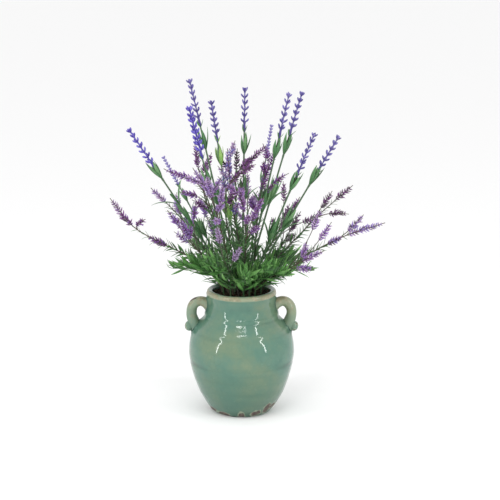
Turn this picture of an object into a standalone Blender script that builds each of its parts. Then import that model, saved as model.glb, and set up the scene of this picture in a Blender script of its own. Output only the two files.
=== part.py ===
"""Potted lavender: moulded lavender stems standing in a glazed two-handled jar.

Frame: origin at the centre of the jar's flat foot, +Z up, the handles on the X axis and the
front towards -Y. Metres. Plant positions are written in millimetres and scaled by MM.
"""

import math

import bmesh
import bpy
from mathutils import Vector

MM = 0.001
GAP = 0.3 * MM  # clearance between neighbouring solids
WELD = 0.001 * MM

# Jar, outer profile from the foot to the lip: (radius, height)
JAR_OUTLINE = [
    (38, 0), (43, 3), (51, 14), (59.5, 29), (66, 46), (71, 63), (74, 80), (74.5, 90),
    (73, 103), (69, 114), (62, 125), (54, 136), (48, 146), (46, 156), (47.3, 166), (49, 172),
]
LIP_RADIUS = 4.2 * MM
LIP_TOP = 177 * MM
WALL = 6 * MM
FLOOR = 9 * MM
MOUTH_RADIUS = 40.4 * MM
TURN_STEPS = 24

# Handles: the right one from the neck out and down to the shoulder, (x, z, radius)
HANDLE_PATH = [
    (42, 152, 7.5), (50, 157, 7.3), (58, 159, 7.2), (65, 156.5, 7.2), (69.5, 149.5, 7.3),
    (70.3, 140, 7.6), (67.5, 130, 8.6), (62.5, 120, 9), (58, 113, 9),
]
BUTTON_CENTRE = (73.5, 123)
BUTTON_RADIUS = 7 * MM

# Soil: edge and crown heights, and how deep a stem is planted
SOIL_EDGE = 169.5 * MM
SOIL_CROWN = 173 * MM
SURFACE = 174 * MM
PLANTED = 14 * MM
SOCKET_SIDES = 6

# Tall lavender: root (x, y), tip (x, y, z), flower head length, whorl positions along the stem
TALL = {
    "01": ((-13, 0), (-155, 0, 404), 68, (0.42, 0.93)),
    "02": ((-6, 4), (-72, 30, 468), 66, (0.50, 0.86)),
    "03": ((-9, -10), (-70, -60, 445), 76, (0.40, 0.80)),
    "04": ((-2, 8), (-43, 84, 428), 58, (0.46, 0.84)),
    "05": ((1, -2), (5, -10, 463), 60, (0.55, 0.86)),
    "06": ((5, -6), (65, -46, 462), 64, (0.52, 0.87)),
    "07": ((6, 5), (85, 60, 445), 63, (0.56, 0.88)),
    "08": ((12, -9), (99, -72, 412), 69, (0.44, 0.88)),
    "09": ((13, 3), (136, 40, 386), 60, (0.50, 0.90)),
    "10": ((5, 13), (43, 92, 394), 50, (0.45, 0.80)),
    "11": ((-16, 12), (-111, 62, 354), 50, (0.50, 0.86)),
}
TALL_RISE = 14 * MM
TALL_RADIUS = 1.5 * MM
TALL_THINNING = 0.25  # share of the radius lost by the top of the stem
LOWEST_LEAF = 42 * MM
UPPER_LEAF = 34 * MM
TALL_LEAF_HALF_WIDTH = 2.4 * MM
LEAVES_PER_WHORL = 3
LEAF_RISE = 0.95  # how far a whorl leaf reaches along the stem, in leaf lengths
LEAF_REACH = 0.28  # how far it reaches away from the stem
LEAF_ROOT = 0.4 * MM
SLEEVE = 13 * MM
SLEEVE_RADII = (1.2 * MM, 2.0 * MM, 1.4 * MM)
SLEEVE_SWELL = 3 * MM
WHORL_PITCH = 8.8 * MM
WHORL_RADIUS = 5.2 * MM
WHORL_WAIST = 1.1 * MM
WHORL_WIDEST = 0.7  # how far up its pitch a flower whorl is widest

# Sprigs: root, points of the main stem, spike length, then side branches as
# (how far along the main stem it leaves, tip, spike length)
SPRIGS = {
    "01": ((-27, -4), [(-62, -14, 220), (-112, -22, 249), (-150, -28, 274), (-181, -30, 314)], 48,
           [(0.72, (-132, -42, 287), 20), (0.42, (-130, -38, 262), 34)]),
    "02": ((-20, -3), [(-50, -14, 316), (-107, -22, 354)], 46, [(0.55, (-86, -34, 324), 30)]),
    "03": ((-18, -11), [(-70, -50, 257), (-101, -56, 303)], 30,
           [(0.42, (-84, -72, 294), 38), (0.42, (-62, -78, 318), 28)]),
    "04": ((-12, -18), [(-36, -80, 312), (-65, -92, 370)], 50,
           [(0.6, (-46, -112, 364), 40), (0.5, (-24, -106, 348), 34)]),
    "05": ((-10, 10), [(-52, 44, 300), (-66, 52, 376)], 36, [(0.6, (-42, 50, 362), 28)]),
    "06": ((9, -16), [(-12, -28, 300), (-19, -30, 384)], 44, [(0.62, (-32, -44, 348), 28)]),
    "07": ((-2, 16), [(-8, 50, 290), (-6, 70, 364)], 30, [(0.6, (16, 74, 350), 28)]),
    "08": ((-4, -24), [(-24, -78, 240), (-33, -112, 294)], 32, [(0.3, (2, -80, 258), 28)]),
    "09": ((2, -18), [(6, -60, 270), (-2, -70, 342)], 40, [(0.45, (31, -96, 331), 46)]),
    "10": ((-5, -16), [(-22, -44, 300), (-12, -46, 345), (34, -40, 390)], 44,
           [(0.62, (20, -60, 368), 26)]),
    "11": ((18, -4), [(24, -12, 300), (47, -14, 380)], 60, [(0.6, (66, 4, 342), 26)]),
    "12": ((21, 3), [(92, 18, 262), (156, 22, 321)], 30,
           [(0.5, (128, 44, 308), 30), (0.62, (150, 2, 284), 30)]),
    "13": ((27, -2), [(88, -8, 225), (146, -12, 257), (200, -12, 275)], 52,
           [(0.62, (171, 12, 281), 34), (0.5, (138, -44, 262), 36)]),
    "14": ((18, -13), [(70, -46, 220), (114, -64, 248)], 36,
           [(0.4, (110, -28, 300), 32), (0.55, (124, -50, 285), 30)]),
    "15": ((17, 11), [(56, 36, 230), (84, 54, 276)], 26, [(0.5, (58, 66, 268), 24)]),
    "16": ((-20, 6), [(-78, 30, 262), (-128, 46, 312)], 28, [(0.5, (-96, 66, 290), 28)]),
    "17": ((-9, 19), [(-40, 80, 236), (-62, 124, 282)], 36,
           [(0.45, (-92, 98, 256), 30), (0.5, (-26, 124, 300), 32)]),
    "18": ((3, 22), [(8, 84, 250), (8, 124, 318)], 38, [(0.5, (28, 128, 286), 30)]),
    "19": ((11, 18), [(50, 76, 236), (84, 112, 284)], 34,
           [(0.45, (116, 92, 262), 30), (0.55, (60, 126, 304), 30)]),
}
SPRIG_RADIUS = 1.2 * MM
TWIG_RADIUS = 0.9 * MM
SPIKE_RADIUS = 4.2 * MM
SPIKE_SWELL = [(0.12, 0.85), (0.45, 1.0), (0.8, 0.7), (1, 0.2)]  # (share of length, of radius)
TWIG_BEND = 0.4
TWIG_SPANS = 8
BARE_TWIG = 12 * MM

# Low leaf sprays: root, tip, and half the blade width of their leaves
SPRAYS = {
    "01": ((-28, 4), (-96, -6, 208), 2.6),
    "02": ((-25, -14), (-80, -40, 222), 3.0),
    "03": ((-15, -25), (-46, -84, 236), 3.2),
    "04": ((3, -31), (6, -97, 216), 3.2),
    "05": ((11, -27), (38, -86, 226), 3.4),
    "06": ((19, -22), (62, -66, 214), 3.0),
    "07": ((27, -11), (94, -32, 212), 2.4),
    "08": ((28, 8), (92, 40, 216), 2.6),
    "09": ((22, 18), (70, 60, 210), 3.0),
    "10": ((0, 30), (-2, 92, 232), 3.2),
    "11": ((-20, 20), (-66, 66, 222), 3.0),
}
SPRAY_RISE = 34 * MM
SPRAY_RADIUS = 1.1 * MM
SPRAY_THINNING = 0.4
LEAVES_PER_SPRAY = 5
FIRST_LEAF = 0.45  # how far along the spray its leaves start
LAST_LEAF = 0.97
LEAF_LENGTH = 30 * MM
LEAF_DROOP = 2 * MM

STEM_GREEN = (0.06, 0.14, 0.05)
LEAF_GREEN = (0.09, 0.24, 0.06)
FLOWER_BLUE = (0.13, 0.10, 0.36)
FLOWER_MAUVE = (0.27, 0.15, 0.34)
GLAZE = (0.22, 0.36, 0.27)
EARTH = (0.02, 0.02, 0.012)


def clear_scene():
    for obj in list(bpy.data.objects):
        bpy.data.objects.remove(obj, do_unlink=True)


def collection(name):
    made = bpy.data.collections.new(name)
    bpy.context.scene.collection.children.link(made)
    return made


def material(name, colour, roughness, metallic=0.0):
    made = bpy.data.materials.new(name)
    made.use_nodes = True
    shader = made.node_tree.nodes["Principled BSDF"]
    shader.inputs["Base Color"].default_value = (*colour, 1)
    shader.inputs["Roughness"].default_value = roughness
    shader.inputs["Metallic"].default_value = metallic
    made.diffuse_color = (*colour, 1)
    return made


def as_mesh(obj):
    """The evaluated object as a plain closed mesh object of the same name."""
    name = obj.name
    bpy.context.view_layer.update()
    graph = bpy.context.evaluated_depsgraph_get()
    mesh = bpy.data.meshes.new_from_object(obj.evaluated_get(graph))
    welded = bmesh.new()
    welded.from_mesh(mesh)
    bmesh.ops.remove_doubles(welded, verts=welded.verts, dist=WELD)
    bmesh.ops.dissolve_limit(
        welded, angle_limit=math.radians(0.2), verts=welded.verts, edges=welded.edges
    )
    bmesh.ops.triangulate(welded, faces=welded.faces)
    bmesh.ops.recalc_face_normals(welded, faces=welded.faces)
    welded.to_mesh(mesh)
    welded.free()
    matrix = obj.matrix_world.copy()
    home = obj.users_collection[0]
    bpy.data.objects.remove(obj, do_unlink=True)
    made = bpy.data.objects.new(name, mesh)
    made.matrix_world = matrix
    home.objects.link(made)
    return made


def combine(name, body, others, operation):
    """body with every other solid joined to it or cut from it, as one new mesh object."""
    group = bpy.data.collections.new(name + "_operands")
    bpy.context.scene.collection.children.link(group)
    for other in others:
        group.objects.link(other)
    step = body.modifiers.new(operation.lower(), "BOOLEAN")
    step.operation = operation
    step.solver = "EXACT"
    step.operand_type = "COLLECTION"
    step.collection = group
    body.name = name
    made = as_mesh(body)
    for other in others:
        bpy.data.objects.remove(other, do_unlink=True)
    bpy.data.collections.remove(group)
    made.name = name
    return made


def finish(obj, home, look):
    """Moves a finished part to its collection, gives it its material and shades it smooth."""
    for old in list(obj.users_collection):
        old.objects.unlink(obj)
    home.objects.link(obj)
    obj.data.materials.clear()
    obj.data.materials.append(look)
    obj.data.shade_smooth()
    obj.data.set_sharp_from_angle(angle=math.radians(40))
    return obj


def turned(name, profile, home):
    """A solid of revolution about Z from (radius, height) points."""
    mesh = bpy.data.meshes.new(name)
    points = [(radius, 0, height) for radius, height in profile]
    mesh.from_pydata(points, [(i, i + 1) for i in range(len(points) - 1)], [])
    obj = bpy.data.objects.new(name, mesh)
    home.objects.link(obj)
    screw = obj.modifiers.new("turn", "SCREW")
    screw.steps = TURN_STEPS
    screw.render_steps = TURN_STEPS
    screw.use_merge_vertices = True
    screw.merge_threshold = 0.00001
    return as_mesh(obj)


def tube(name, rings, home, sides_level=0):
    """A closed tube through (point, radius) rings."""
    curve = bpy.data.curves.new(name, "CURVE")
    curve.dimensions = "3D"
    curve.bevel_depth = MM
    curve.bevel_resolution = sides_level
    curve.use_fill_caps = True
    line = curve.splines.new("POLY")
    line.points.add(len(rings) - 1)
    for spot, (place, radius) in zip(line.points, rings):
        spot.co = (*place, 1)
        spot.radius = radius / MM
    obj = bpy.data.objects.new(name, curve)
    home.objects.link(obj)
    return as_mesh(obj)


def blade_section(home):
    """The flat lens that a leaf blade has across: a unit half width and a sixth as thick."""
    curve = bpy.data.curves.new("blade_section", "CURVE")
    curve.dimensions = "2D"
    line = curve.splines.new("POLY")
    line.points.add(3)
    for spot, (across, up) in zip(line.points, [(1, 0), (0, 0.2), (-1, 0), (0, -0.2)]):
        spot.co = (across * MM, up * MM, 0, 1)
    line.use_cyclic_u = True
    obj = bpy.data.objects.new("blade_section", curve)
    obj.hide_render = True
    obj.display_type = "WIRE"
    home.objects.link(obj)
    return obj


def blade(name, base, tip, droop, half_width, section, home):
    """A lance leaf from base to tip, its middle lifted by droop, flat across the vertical plane."""
    curve = bpy.data.curves.new(name, "CURVE")
    curve.dimensions = "3D"
    curve.twist_mode = "Z_UP"
    curve.bevel_mode = "OBJECT"
    curve.bevel_object = section
    curve.use_fill_caps = True
    line = curve.splines.new("POLY")
    line.points.add(2)
    places = [base, base.lerp(tip, 0.45) + Vector((0, 0, droop)), tip]
    widths = [0.4, 1.0, 0.12]
    for spot, place, width in zip(line.points, places, widths):
        spot.co = (*place, 1)
        spot.radius = width * half_width / MM
    obj = bpy.data.objects.new(name, curve)
    home.objects.link(obj)
    return as_mesh(obj)


def arc(centre, radius, start, end, count):
    """(x, z) points of an arc, the angles in degrees from +X towards +Z."""
    turns = [math.radians(start + (end - start) * i / (count - 1)) for i in range(count)]
    return [(centre[0] + radius * math.cos(t), centre[1] + radius * math.sin(t)) for t in turns]


def through(points, per_span=6):
    """A smooth line through the points whose first stretch leaves straight up."""
    points = [Vector(p) for p in points]
    chord = (points[1] - points[0]).length
    before = points[1] - Vector((0, 0, 1.2 * chord))
    after = points[-1] * 2 - points[-2]
    line = [before, *points, after]
    smooth = []
    for i in range(1, len(line) - 2):
        a, b, c, d = line[i - 1 : i + 3]
        for k in range(per_span):
            t = k / per_span
            place = 2 * b + (c - a) * t + (2 * a - 5 * b + 4 * c - d) * t * t
            smooth.append((place + (3 * b - a - 3 * c + d) * t * t * t) / 2)
    smooth.append(points[-1])
    return smooth


def bent(start, bend, tip, spans):
    """A quadratic Bezier from start to tip, pulled towards bend, cut into equal spans."""
    line = []
    for k in range(spans + 1):
        t = k / spans
        line.append(start * (1 - t) ** 2 + bend * 2 * t * (1 - t) + tip * t * t)
    return line


def leaning(root, tip, rise, spans=16):
    """A line that leaves root straight up for rise and then bends over to the tip."""
    return bent(root, root + Vector((0, 0, rise)), tip, spans)


def length_of(line):
    return sum((b - a).length for a, b in zip(line, line[1:]))


def place_at(line, distance):
    """The point that lies this far along the line, and the line's direction there."""
    for a, b in zip(line, line[1:]):
        span = (b - a).length
        if distance <= span:
            return a.lerp(b, distance / span), (b - a) / span
        distance -= span
    return line[-1], (line[-1] - line[-2]).normalized()


def rings_along(line, stations):
    """(point, radius) rings for a tube from (distance, radius) stations."""
    return [(place_at(line, distance)[0], radius) for distance, radius in stations]


def surface_point(root):
    return Vector((root[0] * MM, root[1] * MM, SURFACE))


def planted(root, radius):
    """The straight foot of a stem that stands in its socket."""
    top = surface_point(root)
    return [(top - Vector((0, 0, PLANTED)), radius), (top, radius)]


def scaled(points):
    return [Vector(p) * MM for p in points]


def make_jar(home):
    outline = [(r * MM, z * MM) for r, z in JAR_OUTLINE]
    lip_centre = (MOUTH_RADIUS + LIP_RADIUS, LIP_TOP - LIP_RADIUS)
    lip = arc(lip_centre, LIP_RADIUS, 90, 0, 4)
    body = turned("jar", [(0, LIP_TOP), *lip, *reversed(outline), (0, 0)], home)
    parts = []
    for side, sign in (("right", 1), ("left", -1)):
        rings = [(Vector((sign * x * MM, 0, z * MM)), r * MM) for x, z, r in HANDLE_PATH]
        parts.append(tube("handle_" + side, rings, home, 2))
        x, z = BUTTON_CENTRE
        bpy.ops.mesh.primitive_uv_sphere_add(
            segments=12, ring_count=7, radius=BUTTON_RADIUS, location=(sign * x * MM, 0, z * MM)
        )
        button = bpy.context.object
        button.name = "button_" + side
        parts.append(as_mesh(button))
    body = combine("jar", body, parts, "UNION")
    cavity = turned("jar_cavity", [(0, LIP_TOP + WALL), *cavity_profile(0)], home)
    return combine("jar", body, [cavity], "DIFFERENCE")


def cavity_profile(clearance):
    """The inside of the jar, from above the lip down to the floor, drawn in by a clearance."""
    lip_centre = (MOUTH_RADIUS + LIP_RADIUS, LIP_TOP - LIP_RADIUS)
    lip = arc(lip_centre, LIP_RADIUS + clearance, 90, 180, 4)
    wall = [
        (r * MM - WALL - clearance, z * MM)
        for r, z in reversed(JAR_OUTLINE[2:-2:2])
    ]
    foot = (JAR_OUTLINE[1][0] * MM - WALL - clearance, FLOOR + clearance)
    top = [(lip_centre[0], LIP_TOP + WALL)] if clearance == 0 else []
    return [*top, *lip, *wall, foot, (0, FLOOR + clearance)]


def make_soil(home):
    inside = [(r, z) for r, z in cavity_profile(GAP) if z < SOIL_EDGE]
    edge = (MOUTH_RADIUS - GAP, SOIL_EDGE)
    crown = [(0, SOIL_CROWN), (MOUTH_RADIUS * 0.6, SOIL_CROWN - 0.8 * MM)]
    body = turned("soil", [*crown, edge, *inside], home)
    sockets = []
    roots = [(root, TALL_RADIUS) for root, *_ in TALL.values()]
    roots += [(root, SPRIG_RADIUS) for root, *_ in SPRIGS.values()]
    roots += [(root, SPRAY_RADIUS) for root, *_ in SPRAYS.values()]
    low = SURFACE - PLANTED - GAP
    high = SOIL_CROWN + WALL
    for number, ((x, y), radius) in enumerate(roots):
        bpy.ops.mesh.primitive_cylinder_add(
            vertices=SOCKET_SIDES,
            radius=radius + 2 * GAP,
            depth=high - low,
            location=(x * MM, y * MM, (high + low) / 2),
        )
        socket = bpy.context.object
        socket.name = f"socket_{number}"
        sockets.append(as_mesh(socket))
    return combine("soil", body, sockets, "DIFFERENCE")


def whorl_leaves(name, line, distance, length, section, home):
    """Leaves set round a stem at one level, leaning away from it."""
    base, along = place_at(line, distance)
    across = along.orthogonal().normalized()
    other = along.cross(across)
    leaves = []
    for i in range(LEAVES_PER_WHORL):
        turn = 2 * math.pi * (i + 0.25) / LEAVES_PER_WHORL
        out = across * math.cos(turn) + other * math.sin(turn)
        tip = base + along * length * LEAF_RISE + out * length * LEAF_REACH
        start = base + out * LEAF_ROOT
        half_width = TALL_LEAF_HALF_WIDTH
        leaves.append(blade(f"{name}_leaf_{i}", start, tip, 0, half_width, section, home))
    return leaves


def tall_line(root, tip):
    return leaning(surface_point(root), Vector(tip) * MM, TALL_RISE)


def make_tall_stem(name, root, tip, head, whorls, section, home):
    line = tall_line(root, tip)
    end = length_of(line) - head * MM
    levels = sorted([0.2, *whorls, 1])
    stations = [(end * f, TALL_RADIUS * (1 - TALL_THINNING * f)) for f in levels]
    body = tube(name, planted(root, TALL_RADIUS) + rings_along(line, stations), home)
    leaves = []
    for i, place in enumerate(whorls):
        length = UPPER_LEAF if i else LOWEST_LEAF
        leaves += whorl_leaves(f"{name}_{i}", line, end * place, length, section, home)
    return combine(name, body, leaves, "UNION")


def make_tall_spike(name, root, tip, head, home):
    line = tall_line(root, tip)
    total = length_of(line)
    start = total - head * MM + GAP
    bottom, middle, top = SLEEVE_RADII
    stations = [(start, bottom), (start + SLEEVE_SWELL, middle), (start + SLEEVE, top)]
    room = total - start - SLEEVE
    whorls = round(room / WHORL_PITCH)
    for i in range(whorls):
        pitch = room / whorls
        low = start + SLEEVE + pitch * i
        flare = WHORL_RADIUS * (1 - 0.25 * i / whorls)
        stations += [(low + WHORL_WIDEST * pitch, flare), (low + pitch, WHORL_WAIST)]
    return tube(name, rings_along(line, stations), home, 1)


def spike_stations(total, spike, thin):
    """A thin stem that swells into a flower spike over its last stretch."""
    start = total - spike * MM
    stations = [(start, thin)]
    stations += [(start + spike * MM * f, SPIKE_RADIUS * size) for f, size in SPIKE_SWELL]
    return stations


def make_sprig(name, root, points, spike, branches, home):
    line = through([surface_point(root), *scaled(points)])
    total = length_of(line)
    start = total - spike * MM
    runs = 2 + len(points)
    levels = [start * i / runs for i in range(1, runs)] + [total * place for place, *_ in branches]
    stations = [(level, SPRIG_RADIUS) for level in sorted(levels) if level < start - 2 * MM]
    stations += spike_stations(total, spike, TWIG_RADIUS)
    body = tube(name, planted(root, SPRIG_RADIUS) + rings_along(line, stations), home)
    twigs = []
    for i, (place, tip, length) in enumerate(branches):
        fork, along = place_at(line, total * place)
        tip = Vector(tip) * MM
        bend = fork + along * (tip - fork).length * TWIG_BEND
        twig = bent(fork, bend, tip, TWIG_SPANS)
        reach = length_of(twig)
        free = reach - length * MM
        rings = [(0, TWIG_RADIUS)]
        if free > BARE_TWIG:
            rings.append((free * 0.5, TWIG_RADIUS))
        rings += spike_stations(reach, length, TWIG_RADIUS)
        twigs.append(tube(f"{name}_twig_{i}", rings_along(twig, rings), home))
    return combine(name, body, twigs, "UNION")


def make_spray(name, root, tip, half_width, section, home):
    tip = Vector(tip) * MM
    line = leaning(surface_point(root), tip, SPRAY_RISE)
    total = length_of(line)
    step = (LAST_LEAF - FIRST_LEAF) / (LEAVES_PER_SPRAY - 1)
    levels = [FIRST_LEAF + step * i for i in range(LEAVES_PER_SPRAY)]
    shares = (0.15, 0.3, *levels, 1)
    stations = [(total * f, SPRAY_RADIUS * (1 - SPRAY_THINNING * f)) for f in shares]
    body = tube(name, planted(root, SPRAY_RADIUS) + rings_along(line, stations), home)
    leaves = []
    for i, level in enumerate(levels):
        base, along = place_at(line, total * level)
        side = along.cross(Vector((0, 0, 1))).normalized() * (1 if i % 2 else -1)
        if i == LEAVES_PER_SPRAY - 1:
            side = Vector((0, 0, 0.1))
        end = base + (along * 0.75 + side * 0.55 + Vector((0, 0, 0.12))) * LEAF_LENGTH
        width = half_width * MM
        leaves.append(blade(f"{name}_leaf_{i}", base, end, LEAF_DROOP, width, section, home))
    return combine(name, body, leaves, "UNION")


def build():
    clear_scene()
    home = collection("potted_lavender")
    cutters = collection("cutters")
    glaze = material("glaze", GLAZE, 0.18)
    earth = material("earth", EARTH, 0.95)
    stem_green = material("stem_green", STEM_GREEN, 0.5)
    leaf_green = material("leaf_green", LEAF_GREEN, 0.5)
    flower_blue = material("flower_blue", FLOWER_BLUE, 0.55)
    flower_mauve = material("flower_mauve", FLOWER_MAUVE, 0.55)
    section = blade_section(cutters)

    finish(make_jar(home), home, glaze)
    finish(make_soil(home), home, earth)
    for number, (root, tip, head, whorls) in TALL.items():
        name = "tall_stem_" + number
        finish(make_tall_stem(name, root, tip, head, whorls, section, home), home, stem_green)
        name = "tall_spike_" + number
        finish(make_tall_spike(name, root, tip, head, home), home, flower_blue)
    for number, (root, points, spike, branches) in SPRIGS.items():
        finish(make_sprig("sprig_" + number, root, points, spike, branches, home), home, flower_mauve)
    for number, (root, tip, half_width) in SPRAYS.items():
        name = "leaf_spray_" + number
        finish(make_spray(name, root, tip, half_width, section, home), home, leaf_green)
    bpy.data.objects.remove(section, do_unlink=True)


build()
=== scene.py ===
"""Potted lavender: moulded lavender stems, wiry sprigs and leaf sprays in a crackle-glazed jar.

Metres, +Z up, the jar's foot at the origin and the front towards -Y. Tables of places are in
millimetres and scaled by MM. Every new piece is a numpy surface whose place is in its mesh.
"""

import bpy
import numpy as np
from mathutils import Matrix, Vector


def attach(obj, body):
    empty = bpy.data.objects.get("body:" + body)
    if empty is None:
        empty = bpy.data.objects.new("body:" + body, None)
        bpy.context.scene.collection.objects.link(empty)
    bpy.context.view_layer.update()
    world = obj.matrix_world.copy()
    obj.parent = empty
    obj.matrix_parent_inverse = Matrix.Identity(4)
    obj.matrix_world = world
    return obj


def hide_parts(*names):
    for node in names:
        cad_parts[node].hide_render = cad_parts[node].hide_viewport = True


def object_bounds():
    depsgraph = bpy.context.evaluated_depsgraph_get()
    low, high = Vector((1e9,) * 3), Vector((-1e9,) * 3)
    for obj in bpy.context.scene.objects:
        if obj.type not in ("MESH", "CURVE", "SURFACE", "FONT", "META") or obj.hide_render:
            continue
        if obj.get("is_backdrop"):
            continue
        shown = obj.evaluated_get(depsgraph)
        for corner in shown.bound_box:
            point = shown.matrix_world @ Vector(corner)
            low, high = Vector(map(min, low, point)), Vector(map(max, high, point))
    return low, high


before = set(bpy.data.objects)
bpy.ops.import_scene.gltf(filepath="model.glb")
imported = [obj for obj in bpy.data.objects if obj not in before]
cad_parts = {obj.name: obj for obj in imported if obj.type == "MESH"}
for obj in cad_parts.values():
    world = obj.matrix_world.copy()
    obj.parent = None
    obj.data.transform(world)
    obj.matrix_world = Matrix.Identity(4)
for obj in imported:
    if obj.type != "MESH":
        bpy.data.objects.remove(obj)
cad_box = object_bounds()
scene = bpy.context.scene

# ---- The stage -------------------------------------------------------------------------
# A long lens a little above the jar's shoulder, a white sweep, and the thin strip lamps of a
# studio light tent, which the glaze shows as bright lines. None of it is the object.
MM = 0.001
CAMERA_DISTANCE = 3.2
CAMERA_PITCH = np.radians(14)
CAMERA_AIM = np.array([0.012, 0, 0.233])
VIEW_WIDTH = 0.70
SENSOR = 36
FLOOR_REACH = 9.0
TENT_WHITE = 1.0

camera_lens = bpy.data.cameras.new("camera")
camera_lens.sensor_width = SENSOR
camera_lens.lens = SENSOR * CAMERA_DISTANCE / VIEW_WIDTH
camera = bpy.data.objects.new("camera", camera_lens)
back_and_up = np.array([0, -np.cos(CAMERA_PITCH), np.sin(CAMERA_PITCH)])
camera.location = CAMERA_AIM + CAMERA_DISTANCE * back_and_up
camera.rotation_euler = (np.pi / 2 - CAMERA_PITCH, 0, 0)
scene.collection.objects.link(camera)
scene.camera = camera
scene.view_settings.view_transform = "Standard"

tent = bpy.data.worlds.new("light_tent")
tent.use_nodes = True
tent.node_tree.nodes["Background"].inputs["Color"].default_value = (1, 1, 1, 1)
tent.node_tree.nodes["Background"].inputs["Strength"].default_value = TENT_WHITE
scene.world = tent


def add_lamp(name, place, aim, width, height, power, mirrored=True):
    """A rectangular area lamp at place that faces the aim, seen in gloss only if mirrored."""
    light = bpy.data.lights.new(name, "AREA")
    light.shape = "RECTANGLE"
    light.size = width
    light.size_y = height
    light.energy = power
    lamp = bpy.data.objects.new(name, light)
    lamp.location = place
    lamp.rotation_euler = (Vector(aim) - Vector(place)).to_track_quat("-Z", "Y").to_euler()
    lamp.visible_glossy = mirrored
    scene.collection.objects.link(lamp)


add_lamp("strip_left", (-0.72, -0.52, 0.60), (0, 0, 0.14), 0.04, 0.95, 2.2)
add_lamp("strip_right", (0.72, -0.52, 0.60), (0, 0, 0.14), 0.04, 0.95, 2.2)
add_lamp("strip_top", (0, -0.62, 1.15), (0, 0, 0.14), 0.40, 0.04, 1.4)
add_lamp("key", (-0.9, -2.6, 2.4), (0, 0, 0.25), 1.3, 1.3, 12, False)
add_lamp("fill", (1.5, -2.2, 1.7), (0, 0, 0.25), 1.3, 1.3, 4, False)

sweep_mesh = bpy.data.meshes.new("sweep")
sweep_corners = [(-1, -1), (1, -1), (1, 1), (-1, 1)]
sweep_points = [(x * FLOOR_REACH, y * FLOOR_REACH, 0) for x, y in sweep_corners]
sweep_mesh.from_pydata(sweep_points, [], [(0, 1, 2, 3)])
sweep = bpy.data.objects.new("sweep", sweep_mesh)
scene.collection.objects.link(sweep)
sweep_paper = bpy.data.materials.new("sweep_paper")
sweep_paper.use_nodes = True
paper_shader = sweep_paper.node_tree.nodes["Principled BSDF"]
paper_shader.inputs["Base Color"].default_value = (0.93, 0.93, 0.93, 1)
paper_shader.inputs["Roughness"].default_value = 0.9
sweep_mesh.materials.append(sweep_paper)
sweep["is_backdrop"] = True

# ---- The jar's body --------------------------------------------------------------------
# A thrown stoneware jar with a rolled lip, turned up from a flat foot. It was dipped in a
# celadon glaze that crackled as it cooled, pooled in the grooves and broke away in chips
# round the foot, and it wore through to the clay along the lip.
JAR_OUTLINE = [
    (38, 0), (43, 3), (51, 14), (59.5, 29), (66, 46), (71, 63), (74, 80), (74.5, 90),
    (73, 103), (69, 114), (62, 125), (54, 136), (48, 146), (46, 156), (47.3, 166), (49, 172),
]
FOOT_RECESS = [(0, 1.4), (12, 1.4), (24, 1.4), (28, 1.1), (31, 0.3), (33, 0), (36, 0)]
LIP_CENTRE = (44.6, 172.8)
LIP_RADIUS = 4.2
INSIDE = [
    (40.4, 172.8), (40.6, 158), (42, 146), (56, 125), (66, 103), (67, 80), (59, 46), (45, 14),
    (37, 9), (20, 9), (0, 9),
]
JAR_COLUMNS = 264
THROWING_RINGS = [
    (163, 0.22, 2.4), (157, -0.20, 2.0), (150, 0.20, 2.2), (141.5, 0.80, 1.7), (138, -0.40, 1.8),
    (122.5, 0.85, 1.7), (118, -0.30, 2.5), (74, -0.35, 1.5), (70, 0.20, 2.5), (57, -0.15, 2.5),
    (49, 0.16, 3.0), (38, -0.14, 2.5), (30, 0.14, 2.5), (20, -0.16, 2.0),
]
# Broken glaze round the foot: (turn from the front in degrees, height, half width, half height)
FOOT_CHIPS = [
    (0, 2, 4.6, 8.5), (22, 6, 4.0, 5.0), (30, 7, 4.2, 4.5), (46, 12, 6.0, 8.0), (60, 13, 6.5, 4.0),
    (-36, 3, 9.0, 4.2), (-60, 7, 8.0, 3.2), (105, 5, 8.0, 4.5), (128, 8, 4.5, 6.5),
    (160, 3, 9.0, 4.0), (188, 5, 4.0, 6.5), (214, 4, 10.0, 4.2), (246, 9, 5.0, 7.0), (268, 4, 7.0, 3.6),
]
CHIP_DEPTH = 0.45
NO_CHIP = -9.0
WELD_HEIGHT = 3.0
WELD_REACH = 3.4
LIP_WEAR = 0.72
HANDLE_PATH = [
    (42, 150.5, 10.0), (50, 156.5, 8.2), (58, 159, 7.2), (65, 156.5, 7.2), (69.5, 149.5, 7.3),
    (70.3, 140, 7.6), (67.5, 130, 8.5), (63.5, 121, 8.6), (61, 115, 6.5),
]


def smooth_line(points, per_span, before=None):
    """A Catmull-Rom line: in each span a cubic whose end slopes are half the step between the
    neighbours of that end. The point before the first is its mirror unless given."""
    points = np.asarray(points, float)
    first = 2 * points[:1] - points[1:2] if before is None else np.asarray(before, float)[None]
    line = np.concatenate([first, points, 2 * points[-1:] - points[-2:-1]])
    a, b, c, d = line[:-3, None], line[1:-2, None], line[2:-1, None], line[3:, None]
    t = (np.arange(per_span) / per_span)[None, :, None]
    cubic = 2 * b + (c - a) * t + (2 * a - 5 * b + 4 * c - d) * t**2 + (3 * b - a - 3 * c + d) * t**3
    return np.concatenate([cubic.reshape(-1, points.shape[1]) / 2, points[-1:]])


def ring_quads(rows, columns):
    """Quads between neighbouring rings, numbered ring by ring, each ring closed on itself."""
    ring = np.arange(columns)
    low = np.arange(rows - 1)[:, None] * columns
    after = (ring + 1) % columns
    corners = [low + ring, low + after, low + columns + after, low + columns + ring]
    return np.stack(corners, -1).reshape(-1, 4)


def pole_fans(rows, columns):
    """Triangles from a first and a last pole, numbered after the rings, to the end rings."""
    ring = np.arange(columns)
    after = (ring + 1) % columns
    first = np.full(columns, rows * columns)
    top = (rows - 1) * columns
    foot = np.stack([first, after, ring], -1)
    head = np.stack([first + 1, top + ring, top + after], -1)
    return np.concatenate([foot, head])


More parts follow.
